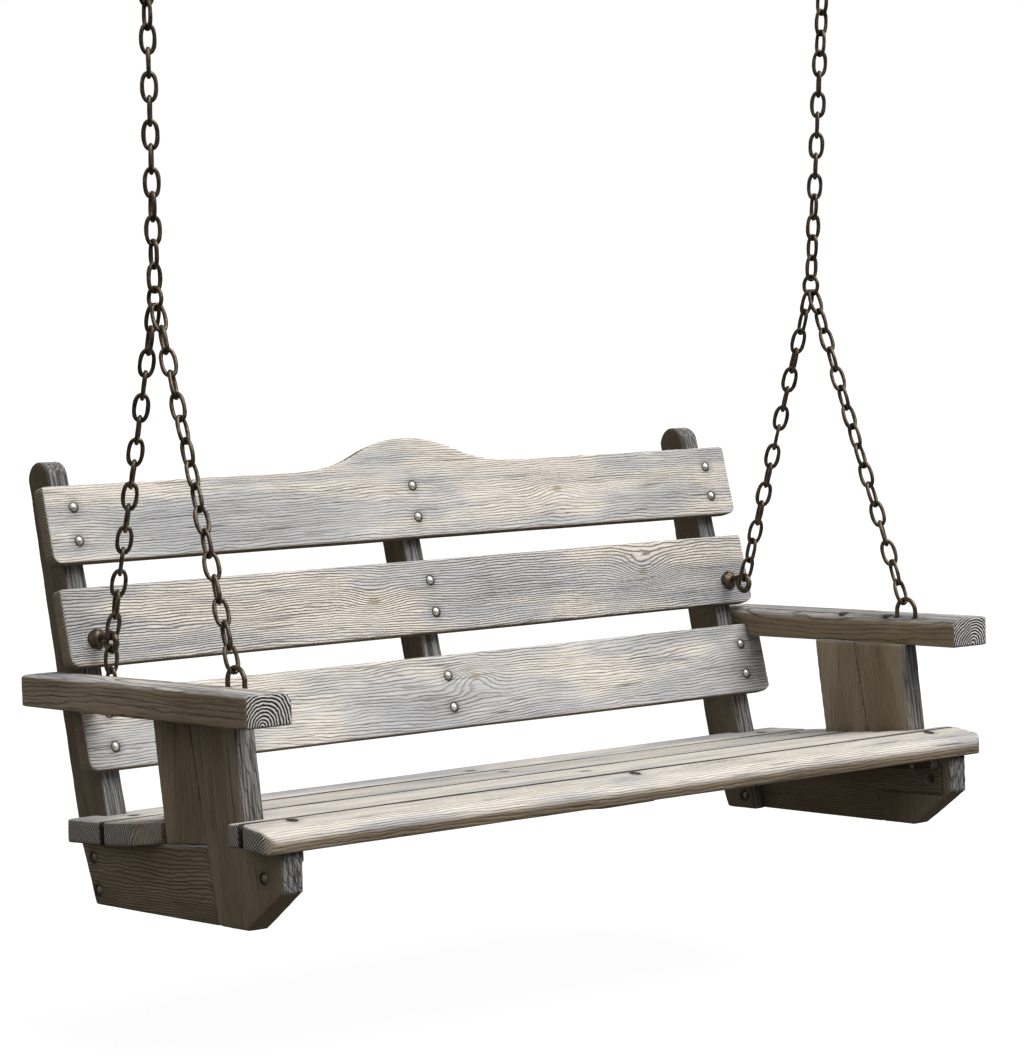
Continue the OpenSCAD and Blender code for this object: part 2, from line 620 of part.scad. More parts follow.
module seat_board_3() color(WOOD_PALE) in_bench() difference() {
    seat_body() seat_outline(seat_3);
    both_sides() translate([side_x - notch, upright_notch_y[1], -far]) cube([far, far, far]);
    seat_screw_holes();
}
module nose_outline() {
    roll_r = 24;
    polygon([nose_rear, nose_break, nose_break - [0, 6], [nose_front_y + 2, nose_bottom_z + 15],
        unf, unr]);
    intersection() {
        translate([nose_front_y + roll_r, nose_break[1] - roll_r]) circle(roll_r);
        translate([nose_front_y, nose_bottom_z + 10]) square([60, 60]);
    }
}
module seat_board_4_front() color(WOOD_PALE) in_bench() difference() {
    seat_body() nose_outline();
    both_sides() {
        plan_corner(seat_half_w, nose_front_y, 22, 1);
        plan_corner(seat_half_w, nose_rear[0], 6, -1);
    }
    seat_screw_holes();
}

// Cleats along the inner faces of the side frames, and a batten under the middle
cleat_w = 22;
cleat_h = 30;
cleat_ends = [-468, -14];
module cleat_outline(h, y0, y1) intersection() {
    polygon([u1r, u1f, u2r, u2f, u3r, u3f, [u3f[0], unr[1]], unr, unf,
        unf - [0, h - 12], unr - [0, h], u3r - [0, h], u2r - [0, h], u1r - [0, h]]);
    translate([y0, -far]) square([y1 - y0, far]);
}
module seat_cleat() color(WOOD) in_bench() difference() {
    plate(side_x - cleat_w, side_x) cleat_outline(cleat_h, cleat_ends[0], cleat_ends[1]);
    seat_screw_holes();
    cleat_screw_holes();
}
// The batten gets thinner towards the front, so that it doesn't show below the seat
module batten_outline() intersection() {
    cleat_outline(22, -474, 20);
    polygon([[-480, -92], [-395, -107.5], [20, -150], [20, 0], [-480, 0]]);
}
module centre_seat_batten() color(WOOD) in_bench() difference() {
    plate(-30, 30) batten_outline();
    seat_screw_holes();
}
// Seat screws as [x, y, upper z, tilt of the board in degrees]
screw_sink = 1.5;
function top_at(b, y) = line_at(b[0], b[1], y);
function tilt_of(b) = atan2(b[1][1] - b[0][1], b[0][0] - b[1][0]);
seat_rows = [[seat_1, -30], [seat_2, -120], [seat_3, -330]];
nose_row = [[[nose_rear, nose_break], -454]];
screw_x = [-(side_x - cleat_w / 2), 0, side_x - cleat_w / 2];
seat_screw_l = 52;
nose_screw_l = 47;
module at_seat_screws(rows) for (row = rows, x = screw_x)
    translate([x, row[1], top_at(row[0], row[1])]) rotate([-tilt_of(row[0]), 0, 0])
        translate([0, 0, -screw_sink]) children();
module seat_screws() color(IRON) in_bench() {
    at_seat_screws(seat_rows) wood_screw(seat_screw_l);
    at_seat_screws(nose_row) wood_screw(nose_screw_l);
}
module seat_screw_holes() {
    at_seat_screws(seat_rows) screw_hole(seat_screw_l);
    at_seat_screws(nose_row) screw_hole(nose_screw_l);
}
// Cleat screws as [y, z], the front two higher because the seat rises there
cleat_screw_yz = [[-60, -122], [-165, -122], [-300, -108], [-420, -108]];
cleat_screw_l = 45;
cleat_screw_sink = 1;
module at_cleat_screws() for (p = cleat_screw_yz)
    translate([side_x - cleat_w + cleat_screw_sink, p[0], p[1]]) rotate([0, -90, 0]) children();
module cleat_screws() color(IRON) in_bench() both_sides() at_cleat_screws() wood_screw(cleat_screw_l);
module cleat_screw_holes() both_sides() at_cleat_screws() screw_hole(cleat_screw_l);

// ---- the assembly -------------------------------------------------------------------------
left_side() ceiling_hook();  // left_ceiling_hook
ceiling_hook();  // right_ceiling_hook
left_side() upper_run(1, 1);  // left_top_link
left_side() upper_run(2, upper_links - 1);  // left_upper_chain
left_side() upper_run(upper_links, upper_links);  // left_bottom_link
upper_run(1, 1);  // right_top_link
upper_run(2, upper_links - 1);  // right_upper_chain
upper_run(upper_links, upper_links);  // right_bottom_link
left_side() junction_ring();  // left_junction_ring
junction_ring();  // right_junction_ring
left_side() front_chain();  // left_front_chain
left_side() rear_chain();  // left_rear_chain
front_chain();  // right_front_chain
rear_chain();  // right_rear_chain
left_chain_tail();
left_side() arm_u_bolt();  // left_arm_u_bolt
arm_u_bolt();  // right_arm_u_bolt
u_bolt_washers();
u_bolt_nuts();
left_side() back_eye_bolt();  // left_back_eye_bolt
back_eye_bolt();  // right_back_eye_bolt
eye_bolt_bosses();
eye_bolt_washers();
eye_bolt_nuts();
back_board(2);  // top_back_board
back_board(1);  // middle_back_board
back_board(0);  // bottom_back_board
left_side() end_post();  // left_back_post
end_post();  // right_back_post
centre_back_post();
back_bolts();
back_bolt_washers();
back_bolt_nuts();
seat_board_1_rear();
seat_board_2();
seat_board_3();
seat_board_4_front();
left_side() seat_cleat();  // left_seat_cleat
seat_cleat();  // right_seat_cleat
centre_seat_batten();
seat_screws();
cleat_screws();
left_side() side_rail();  // left_side_rail
side_rail();  // right_side_rail
left_side() rear_upright();  // left_rear_upright
rear_upright();  // right_rear_upright
left_side() front_upright();  // left_front_upright
front_upright();  // right_front_upright
upright_dowels();
left_side() arm();  // left_arm
arm();  // right_arm
arm_screws();
arm_post_screws();
frame_bolts();
frame_bolt_washers();
frame_bolt_nuts();
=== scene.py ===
"""Looks of the porch swing: weathered boards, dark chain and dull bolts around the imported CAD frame."""

import json
import math

import bpy
import numpy as np
from mathutils import Matrix, Vector

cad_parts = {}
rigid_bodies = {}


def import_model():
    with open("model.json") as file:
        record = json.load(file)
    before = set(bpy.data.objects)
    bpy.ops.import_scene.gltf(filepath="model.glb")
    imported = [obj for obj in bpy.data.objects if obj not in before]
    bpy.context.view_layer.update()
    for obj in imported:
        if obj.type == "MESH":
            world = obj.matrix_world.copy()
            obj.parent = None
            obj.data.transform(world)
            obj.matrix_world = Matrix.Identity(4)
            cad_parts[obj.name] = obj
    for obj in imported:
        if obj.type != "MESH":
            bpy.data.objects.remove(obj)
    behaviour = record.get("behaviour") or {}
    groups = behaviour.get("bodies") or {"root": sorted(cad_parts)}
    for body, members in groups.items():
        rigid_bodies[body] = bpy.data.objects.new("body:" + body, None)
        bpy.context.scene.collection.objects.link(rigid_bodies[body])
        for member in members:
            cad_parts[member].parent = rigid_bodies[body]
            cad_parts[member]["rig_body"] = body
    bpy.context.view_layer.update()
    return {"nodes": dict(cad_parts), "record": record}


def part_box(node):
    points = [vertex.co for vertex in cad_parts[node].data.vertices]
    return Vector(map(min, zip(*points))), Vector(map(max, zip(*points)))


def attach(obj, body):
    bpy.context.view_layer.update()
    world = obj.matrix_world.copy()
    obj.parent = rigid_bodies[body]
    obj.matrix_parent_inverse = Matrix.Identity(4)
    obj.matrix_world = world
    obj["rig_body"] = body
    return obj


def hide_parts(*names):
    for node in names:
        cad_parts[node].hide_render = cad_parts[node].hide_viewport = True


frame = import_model()
NODES = frame["nodes"]

# ---- measures taken from the design, in metres and degrees ----------------------
LEAN = 3.45          # the whole bench leans back by this much
BACK = LEAN + 14     # so the back boards lean back by this much


def rot_x(degrees):
    return Matrix.Rotation(math.radians(degrees), 4, "X")


# A board's own axes: +X runs along its grain, which is left to right unless one of these turns it
DEEP = Matrix.Rotation(math.radians(90), 4, "Z")         # front to back
UPRIGHT = Matrix.Rotation(math.radians(-90), 4, "Y")     # bottom to top


# ---- node trees ----------------------------------------------------------------
class Tree:
    """Short names for building a material's nodes."""

    def __init__(self, name):
        self.material = bpy.data.materials.new(name)
        self.material.use_nodes = True
        self.nodes = self.material.node_tree.nodes
        self.links = self.material.node_tree.links
        self.nodes.clear()
        out = self.nodes.new("ShaderNodeOutputMaterial")
        self.shader = self.nodes.new("ShaderNodeBsdfPrincipled")
        self.links.new(self.shader.outputs[0], out.inputs[0])
        coords = self.nodes.new("ShaderNodeTexCoord")
        self.place = coords.outputs["Object"]
        self.normal = coords.outputs["Normal"]

    def put(self, value, socket):
        """Links a node's output to a socket, or sets the socket to a constant."""
        if isinstance(value, bpy.types.NodeSocket):
            self.links.new(value, socket)
        else:
            socket.default_value = value

    def math(self, operation, a, b=0.0):
        n = self.nodes.new("ShaderNodeMath")
        n.operation = operation
        for value, socket in zip((a, b), n.inputs):
            self.put(value, socket)
        return n.outputs[0]

    def add(self, a, b):
        return self.math("ADD", a, b)

    def mul(self, a, b):
        return self.math("MULTIPLY", a, b)

    def sub(self, a, b):
        return self.math("SUBTRACT", a, b)

    def larger(self, a, b):
        return self.math("MAXIMUM", a, b)

    def size(self, a):
        return self.math("ABSOLUTE", a)

    def step(self, value, low, high, to_low=0.0, to_high=1.0):
        """Goes smoothly from to_low at low to to_high at high."""
        n = self.nodes.new("ShaderNodeMapRange")
        n.interpolation_type = "SMOOTHSTEP"
        for socket, v in zip(n.inputs, (value, low, high, to_low, to_high)):
            self.put(v, socket)
        return n.outputs[0]

    def split(self, vector):
        n = self.nodes.new("ShaderNodeSeparateXYZ")
        self.put(vector, n.inputs[0])
        return n.outputs

    def noise(self, scale, shift=(0, 0, 0), detail=2.0, roughness=0.5):
        """Noise in the piece's own axes, with a scale for each axis."""
        stretch = self.nodes.new("ShaderNodeMapping")
        self.put(self.place, stretch.inputs["Vector"])
        stretch.inputs["Location"].default_value = shift
        stretch.inputs["Scale"].default_value = scale
        n = self.nodes.new("ShaderNodeTexNoise")
        self.put(stretch.outputs[0], n.inputs["Vector"])
        n.inputs["Scale"].default_value = 1.0
        n.inputs["Detail"].default_value = detail
        n.inputs["Roughness"].default_value = roughness
        return n.outputs["Fac"]

    def distance(self, point):
        """Distance from a point in the piece's own axes."""
        n = self.nodes.new("ShaderNodeVectorMath")
        n.operation = "DISTANCE"
        self.put(self.place, n.inputs[0])
        n.inputs[1].default_value = point
        return n.outputs["Value"]

    def mix(self, factor, a, b):
        n = self.nodes.new("ShaderNodeMix")
        n.data_type = "RGBA"
        self.put(factor, n.inputs["Factor"])
        for value, socket in ((a, n.inputs[6]), (b, n.inputs[7])):
            self.put(value if isinstance(value, bpy.types.NodeSocket) else (*value, 1.0), socket)
        return n.outputs[2]

    def bump(self, height, distance, strength):
        n = self.nodes.new("ShaderNodeBump")
        n.inputs["Distance"].default_value = distance
        n.inputs["Strength"].default_value = strength
        self.put(height, n.inputs["Height"])
        self.put(n.outputs[0], self.shader.inputs["Normal"])


# ---- weathered wood -------------------------------------------------------------
CREAM = (0.67, 0.625, 0.565)
SILVER = (0.48, 0.48, 0.485)
BLUE_GREY = (0.33, 0.34, 0.365)
TAN = (0.41, 0.335, 0.24)
GROOVE = (0.13, 0.108, 0.083)
UMBER = (0.26, 0.203, 0.13)
DEEP_BROWN = (0.05, 0.038, 0.026)
STORM = (0.10, 0.102, 0.108)
PALE_END = (0.56, 0.55, 0.53)
NEAR_BLACK = (0.022, 0.018, 0.014)

# Scales of the noises along, across and through a board: the larger, the finer the pattern
WANDER = (1.1, 4, 4)
WAVE = (4.5, 16, 16)
RIPPLE = (22, 70, 70)
PATCH = (5, 26, 26)
COOL = (2.4, 10, 10)
STREAK = (3.0, 120, 120)
STRIPE = (5, 300, 300)
CRACK = (6, 380, 380)
FIBRE = (16, 480, 480)

# How far the noises move the growth rings, in metres from their lowest value to their highest
WANDER_BY = 0.05
WAVE_BY = 0.022
RIPPLE_BY = 0.0056

# A knot's effect in sizes of the knot: how far it reaches and how far it pushes the rings aside
KNOT_REACH = 1.5
KNOT_PUSH = 2.2
KNOT_SQUASH = 0.30      # its squared distance along the grain counts for this much
EULER = 2.718

# Where each darkening ends and where it is full, in metres from a bolt head's middle or from a seam: painted
# shade in the recess round a head and in the gap at a seam, and a faint stain round a head
HEAD_SHADE_RING = (0.0122, 0.0088)
HEAD_STAIN = (0.024, 0.008)
SEAM_SHADE = (0.0062, 0.0030)
FRAY = 0.004            # the fibres fray the painted shade ring round a head by this much

BUMP_DEPTH = 0.002
SEED_SHIFT = (7.31, 3.17, 5.71)     # how far each seed moves the noises along the three axes


class Grain(Tree):
    """The noises and growth rings that the colours and the relief of one board share."""

    def __init__(self, name, pith, seed, ring, knots, wander):
        super().__init__(name)
        self.shift = tuple(seed * along for along in SEED_SHIFT)
        self.swap = (self.shift[1], self.shift[2], self.shift[0])
        self.turn, self.knot_heart = self.growth_rings(pith, ring, knots, wander)
        # late wood is the dark, hard part of a ring
        self.late = self.mul(self.step(self.turn, 0.5, 0.84), self.step(self.turn, 1.0, 0.92))
        self.patch = self.noise(PATCH, self.shift, detail=3, roughness=0.6)
        self.fibre = self.noise(FIBRE, self.shift, detail=3, roughness=0.65)
        self.streak = self.noise(STREAK, self.shift, detail=2, roughness=0.6)
        self.cool = self.noise(COOL, self.swap, detail=3, roughness=0.55)
        self.crack = self.step(self.noise(CRACK, self.shift, detail=1.5), 0.67, 0.73)
        # on the ends the rings are cut across, and the soft wood between them has weathered away
        self.ridge = self.mul(self.step(self.turn, 0.12, 0.4), self.step(self.turn, 0.92, 0.62))

    def moved(self, noise, by):
        return self.mul(self.sub(noise, 0.5), by)

    def growth_rings(self, pith, ring, knots, wander):
        """How far through its ring a point is, and how near to the heart of a knot, each from 0 to 1."""
        x, y, z = self.split(self.place)
        # the trunk isn't straight: the rings wander a little along the board
        wander_y = self.noise(WANDER, self.shift, detail=1)
        wander_z = self.noise(WANDER, self.swap, detail=1)
        ripple = self.noise(RIPPLE, self.shift, detail=2, roughness=0.55)
        wave = self.noise(WAVE, self.swap, detail=1)
        from_y = self.add(self.sub(y, pith[0]), self.moved(wander_y, WANDER_BY * wander))
        bend = self.add(self.moved(wander_z, WANDER_BY * wander), self.moved(wave, WAVE_BY * wander))
        from_z = self.add(self.sub(z, pith[1]), bend)
        heart = 0.0
        for knot_x, knot_z, size in knots:
            along, across = self.sub(x, knot_x), self.sub(z, knot_z)
            near = self.add(self.mul(self.mul(along, along), KNOT_SQUASH), self.mul(across, across))
            push = self.math("POWER", EULER, self.mul(near, -1 / (KNOT_REACH * size) ** 2))
            from_y = self.add(from_y, self.mul(push, KNOT_PUSH * size))
            heart = self.larger(heart, self.step(near, (0.5 * size) ** 2, (0.1 * size) ** 2))
        radius = self.math("SQRT", self.add(self.mul(from_y, from_y), self.mul(from_z, from_z)))
        radius = self.add(radius, self.moved(ripple, RIPPLE_BY))
        return self.math("FRACT", self.math("DIVIDE", radius, ring)), heart

    def bleached(self, warmth, tone):
        """Colour of a face that the sun has bleached."""
        colour = self.mix(self.step(self.cool, 0.30 + 0.2 * warmth, 0.44 + 0.2 * warmth), CREAM, SILVER)
        blue = self.step(self.cool, 0.46 + 0.1 * warmth, 0.66 + 0.1 * warmth, 0, 0.8)
        colour = self.mix(blue, colour, BLUE_GREY)
        colour = self.mix(self.step(self.streak, 0.5, 0.72, 0, 0.5), colour, BLUE_GREY)
        colour = self.mix(self.mul(self.late, self.step(self.patch, 0.32, 0.62, 0.3, 0.85)), colour, GROOVE)
        if tone:
            stripe = self.noise(STRIPE, self.shift, detail=1.5)
            colour = self.mix(tone, colour, STORM)
            colour = self.mix(self.step(stripe, 0.44, 0.57, 0, 0.4 + 0.5 * tone), colour, NEAR_BLACK)
        return colour

    def brown(self, shade):
        """Colour of a face that has kept its brown, darkened towards DEEP_BROWN as painted shade."""
        colour = self.mix(self.step(self.cool, 0.35, 0.65), TAN, UMBER)
        colour = self.mix(self.mul(self.late, self.step(self.patch, 0.3, 0.65, 0.2, 0.7)), colour, GROOVE)
        # painted shade: the brown goes darker towards DEEP_BROWN
        return self.mix(shade, colour, DEEP_BROWN)

    def cut(self, end_dark):
        """Colour of the ends."""
        colour = self.mix(self.ridge, NEAR_BLACK, self.mix(self.patch, PALE_END, SILVER))
        stain = self.step(self.fibre, 0.5, 0.8, end_dark, end_dark + 0.35 * (1 - end_dark))
        return self.mix(stain, colour, UMBER if end_dark else DEEP_BROWN)

    def stain_and_painted_shade(self, heads, seams):
        """How dark a point is made, from 0 to 1: painted shade in the recess round each bolt head and in the
        gaps at the seams, and a faint stain round each head.
        """
        stain_and_painted_shade = 0.0
        for head in heads:
            away = self.add(self.distance(head), self.moved(self.fibre, FRAY))
            # painted shade in the recess round the head
            stain_and_painted_shade = self.larger(stain_and_painted_shade, self.step(away, *HEAD_SHADE_RING, 0, 0.97))
            # a faint stain round the head
            stain_and_painted_shade = self.larger(stain_and_painted_shade, self.step(away, *HEAD_STAIN, 0, 0.3))
        # painted shade in the gap between boards along a seam
        for edge in seams:
            away = self.size(self.sub(self.split(self.place)[1], edge))
            stain_and_painted_shade = self.larger(stain_and_painted_shade, self.step(away, *SEAM_SHADE, 0, 0.95))
        return stain_and_painted_shade


def wood(name, pith, seed, ring=0.0036, sun=(0, -1, 0), shade=0.5, warmth=0.5, tone=0.0, knots=(),
         heads=(), seams=(), end_dark=0.0, rubbed=0.3, wander=1.0, back=0.0):
    """Weathered softwood, laid out in the board's own axes.

    pith: the heart of the trunk as (y, z), beside the board, and ring: the spacing of the growth rings
    sun: the direction of the side that is bleached and also painted as lit, tone: how dark it is, warmth: how
    much cream it keeps
    shade: how far the brown sides are darkened as painted shade, back: how much the side away from sun is
    bleached too
    knots: (x, z, size) on the face; heads: places of bolt heads, each with a ring of painted shade for its
    recess and a faint stain round it
    seams: the y of edges where painted shade marks the gap to the next board; end_dark: how brown the ends are
    rubbed: how pale the edges are, partly from wear and partly as a painted highlight; wander: how much the
    grain bends
    """
    t = Grain(name, pith, seed, ring, knots, wander)
    nx, ny, nz = t.split(t.normal)
    # Faces turned towards sun get the pale bleached colour and the others the brown one: partly real
    # sun-bleaching, partly painted light and painted shade that follow the key light
    facing = t.add(t.mul(nx, sun[0]), t.add(t.mul(ny, sun[1]), t.mul(nz, sun[2])))
    lit_and_bleached = t.larger(t.step(facing, 0.25, 0.8), t.step(facing, -0.4, -0.85, 0, back))
    end = t.step(t.size(nx), 0.72, 0.9)

    face = t.mix(lit_and_bleached, t.brown(shade), t.bleached(warmth, tone))
    face = t.mix(t.step(t.fibre, 0.48, 0.8, 0, 0.5), face, DEEP_BROWN)
    face = t.mix(t.mul(t.crack, 0.75), face, DEEP_BROWN)
    if knots:
        face = t.mix(t.mul(t.knot_heart, 0.6), face, UMBER)
    colour = t.mix(end, face, t.cut(end_dark))
    # Edges go paler towards CREAM: partly rubbed wear, partly a painted highlight on the rounded edges
    on_edge = t.step(t.larger(t.size(ny), t.size(nz)), 0.93, 0.76)
    wear_and_highlight = t.mul(on_edge, t.sub(1.0, end))
    colour = t.mix(t.mul(wear_and_highlight, t.step(t.patch, 0.3, 0.6, 0.0, rubbed)), colour, CREAM)
    # Darker towards NEAR_BLACK: painted shade round bolt heads and along seams, and a faint stain round the
    # heads
    t.put(t.mix(t.stain_and_painted_shade(heads, seams), colour, NEAR_BLACK), t.shader.inputs["Base Color"])
    t.put(t.step(t.fibre, 0.2, 0.8, 0.72, 0.9), t.shader.inputs["Roughness"])
    t.shader.inputs["Specular IOR Level"].default_value = 0.25

    relief = t.sub(t.sub(t.mul(t.fibre, 0.5), t.mul(t.late, 0.9)), t.mul(t.crack, 0.9))
    relief = t.add(t.mul(relief, t.sub(1.0, t.mul(end, 0.5))), t.mul(end, t.ridge))
    t.bump(relief, BUMP_DEPTH, 0.9)
    return t.material


# ---- metals -----------------------------------------------------------------------
BLOTCH = (70, 70, 70)
SPECKLE = (420, 420, 420)


def metal(name, base, patina, shine, rough, metallic, seed=1.0):
    """Worn metal: base colour, patina in patches, and pale speckles of shine that are partly rubbed wear and
    partly painted glints.
    """
    t = Tree(name)
    shift = (seed, seed * 2, seed * 3)
    blotch = t.noise(BLOTCH, shift, detail=4, roughness=0.6)
    speckle = t.noise(SPECKLE, shift, detail=3, roughness=0.6)
    colour = t.mix(t.step(blotch, 0.42, 0.62), base, patina)
    # pale speckles towards shine: partly rubbed wear, partly painted glints
    colour = t.mix(t.step(speckle, 0.58, 0.72, 0, 0.55), colour, shine)
    t.put(colour, t.shader.inputs["Base Color"])
    t.shader.inputs["Metallic"].default_value = metallic
    t.put(t.step(blotch, 0.3, 0.7, rough - 0.1, rough + 0.16), t.shader.inputs["Roughness"])
    t.bump(t.add(t.mul(blotch, 0.5), t.mul(speckle, 0.5)), 0.0006, 0.6)
    return t.material


IRON = metal("chain_iron", (0.060, 0.046, 0.033), (0.115, 0.085, 0.057), (0.46, 0.41, 0.33), 0.34, 0.8)
ZINC = metal("zinc_steel", (0.76, 0.75, 0.72), (0.50, 0.48, 0.43), (0.90, 0.89, 0.86), 0.30, 0.85, 2.0)
TARNISHED = metal("dark_steel", (0.24, 0.21, 0.16), (0.12, 0.10, 0.07), (0.55, 0.50, 0.40), 0.42, 0.8, 3.0)


# ---- meshes -------------------------------------------------------------------------
def points_of(mesh):
    co = np.zeros(len(mesh.vertices) * 3)
    mesh.vertices.foreach_get("co", co)
    return co.reshape(-1, 3)


def normals_of(mesh):
    return np.array([v.normal for v in mesh.vertices])


def add_object(name, mesh):
    """A new object in the scene, shaded smooth."""
    mesh.polygons.foreach_set("use_smooth", np.ones(len(mesh.polygons), bool))
    piece = bpy.data.objects.new(name, mesh)
    bpy.context.scene.collection.objects.link(piece)
    return piece


WAVE_COUNT = 40


def waves(points, longest, shortest, stretch, seed):
    """A smooth random height in -1..1 at each point, made of sine waves; stretch lengthens them along X."""
    rng = np.random.default_rng(seed)
    total = np.zeros(len(points))
    weight = 0.0
    for _ in range(WAVE_COUNT):
        length = math.exp(rng.uniform(math.log(shortest), math.log(longest)))
        k = rng.normal(size=3)
        k *= 2 * math.pi / length / np.linalg.norm(k)
        k[0] /= stretch
        total += length * np.sin(points @ k + rng.uniform(0, 2 * math.pi))
        weight += length
    return total / weight * math.sqrt(WAVE_COUNT) * 0.7


SCRAP = 8               # a loose part with no more points than this isn't counted


def loose_parts(mesh):
    """The coordinates of each loose part of a mesh, one array for each."""
    co = points_of(mesh)
    parent = list(range(len(co)))

    def find(i):
        while parent[i] != i:
            parent[i] = parent[parent[i]]
            i = parent[i]
        return i

    same_place = {}
    for i, key in enumerate(map(tuple, np.round(co, 5))):
        parent[find(i)] = find(same_place.setdefault(key, i))
    for e in mesh.edges:
        parent[find(e.vertices[0])] = find(e.vertices[1])
    groups = {}
    for i in range(len(co)):
        groups.setdefault(find(i), []).append(i)
    return [co[g] for g in groups.values() if len(g) > SCRAP]


def heads_of(node, outward):
    """Middle of each fastener's head: the end of each loose part that lies furthest outward."""
    found = []
    for points in loose_parts(NODES[node].data):
        way = np.array(outward(points.mean(0)), float)
        reach = points @ way
        found.append(Vector(points[reach > reach.max() - 0.002].mean(0)))
    return found


HEADS = (heads_of("back_bolts", lambda c: (0, -1, 0)) + heads_of("seat_screws", lambda c: (0, 0, 1))
         + heads_of("frame_bolts", lambda c: (1 if c[0] > 0 else -1, 0, 0))
         + heads_of("arm_screws", lambda c: (0, 0, 1)))


def shaped(node, turn, voxel, smooth):
    """A new object with the CAD node's shape, remeshed evenly, with its own axes set by turn."""
    low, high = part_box(node)
    place = Matrix.Translation((low + high) / 2) @ turn
    mesh = NODES[node].data.copy()
    mesh.transform(place.inverted())
    mesh.materials.clear()
    scratch = bpy.data.objects.new("scratch", mesh)
    bpy.context.scene.collection.objects.link(scratch)
    remesh = scratch.modifiers.new("even", "REMESH")
    remesh.mode = "VOXEL"
    remesh.voxel_size = voxel
    soften = scratch.modifiers.new("soft", "SMOOTH")
    soften.factor = 0.5
    soften.iterations = smooth
    bpy.context.view_layer.update()
    final = bpy.data.meshes.new_from_object(scratch.evaluated_get(bpy.context.evaluated_depsgraph_get()))
    bpy.data.objects.remove(scratch)
    piece = add_object(node + "_worn", final)
    piece.matrix_world = place
    return piece


def frame_slot(node):
    return next(s["material_slot"] for s in frame["record"]["subparts"] if s["node"] == node)


def take_over(piece, node):
    """Lets a piece replace a CAD node: hides the node and gives the piece the node's body."""
    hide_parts(node)
    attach(piece, NODES[node]["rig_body"])


# ---- boards -------------------------------------------------------------------------
UNEVEN_BY = 0.0004      # how far a board's faces are off flat
DENTS_BY = 0.0003       # and how much more its edges are
FLAT_NORMAL = 0.97      # an edge starts where the largest part of the normal falls below this
EDGE_FADE = 0.25        # and is a full one where that part is this much less
HEAD_REACH = 0.006      # a head as far outside a board as this still marks it


def board(node, turn, seed, grow=(0, 0), voxel=0.0035, seams=(), **look):
    """Replaces a CAD board with a worn one, with rounded edges and slightly uneven faces. grow lengthens its
    upper end and widens it, so that it still meets its neighbours. seams is -1 and 1 for its front and rear
    edges."""
    piece = shaped(node, turn, voxel, 4)
    mesh = piece.data
    co = points_of(mesh)
    normal = normals_of(mesh)
    edge = np.clip((FLAT_NORMAL - np.abs(normal).max(1)) / EDGE_FADE, 0, 1)
    uneven = waves(co, 0.16, 0.02, 5.0, seed)
    dents = waves(co, 0.05, 0.012, 2.0, seed + 1)
    co += normal * (UNEVEN_BY * uneven + DENTS_BY * edge * dents)[:, None]
    high = co.max(0)
    co[:, 0] += grow[0] * np.clip(co[:, 0] / high[0], 0, 1)
    co[:, 1] *= 1 + grow[1] / high[1]
    mesh.vertices.foreach_set("co", co.ravel())
    mesh.update()
    low, high = co.min(0) - HEAD_REACH, co.max(0) + HEAD_REACH
    inverse = piece.matrix_world.inverted()
    places = [tuple(inverse @ head) for head in HEADS]
    heads = [p for p in places if all(low[i] < p[i] < high[i] for i in range(3))]
    seams = [co[:, 1].min() if side < 0 else co[:, 1].max() for side in seams]
    mesh.materials.append(wood("wood_" + node, seed=seed, heads=heads, seams=seams, **look))
    take_over(piece, node)


def back_boards():
    turn = rot_x(-BACK)
    slat = dict(ring=0.0041, sun=(0, -0.97, 0.25), shade=0.6, end_dark=0.8, back=0.55)
    board("top_back_board", turn, 1, pith=(0.09, -0.26), warmth=0.5, knots=[(0.33, -0.02, 0.017)], **slat)
    board("middle_back_board", turn, 2, pith=(0.11, 0.22), warmth=0.35,
          knots=[(-0.13, 0.0, 0.019), (0.50, 0.01, 0.018)], **slat)
    board("bottom_back_board", turn, 3, pith=(0.12, -0.20), warmth=0.45, knots=[(0.06, 0.02, 0.016)], **slat)


def seat_boards():
    """Each board is turned by the bench's lean and its own slope."""
    seat = dict(ring=0.0041, sun=(0, -0.35, 0.94), shade=0.5, end_dark=0.25)
    board("seat_board_1_rear", rot_x(-LEAN - 2), 4, pith=(0.20, -0.12), warmth=0.7, seams=(-1,), **seat)
    board("seat_board_2", rot_x(-LEAN - 4.5), 5, pith=(-0.22, -0.10), warmth=0.8, seams=(-1, 1), **seat)
    board("seat_board_3", rot_x(-LEAN - 4.3), 6, pith=(0.24, -0.12), warmth=0.9, seams=(-1, 1), **seat)
    board("seat_board_4_front", rot_x(-LEAN), 7, pith=(-0.20, -0.20), warmth=1.0, seams=(1,), wander=0.35,
          **seat)


# Directions that the bleached side of a board faces, which is also painted as its lit side, in its own axes
UP, FORWARD = (0, 0, 1), (0, -1, 0)


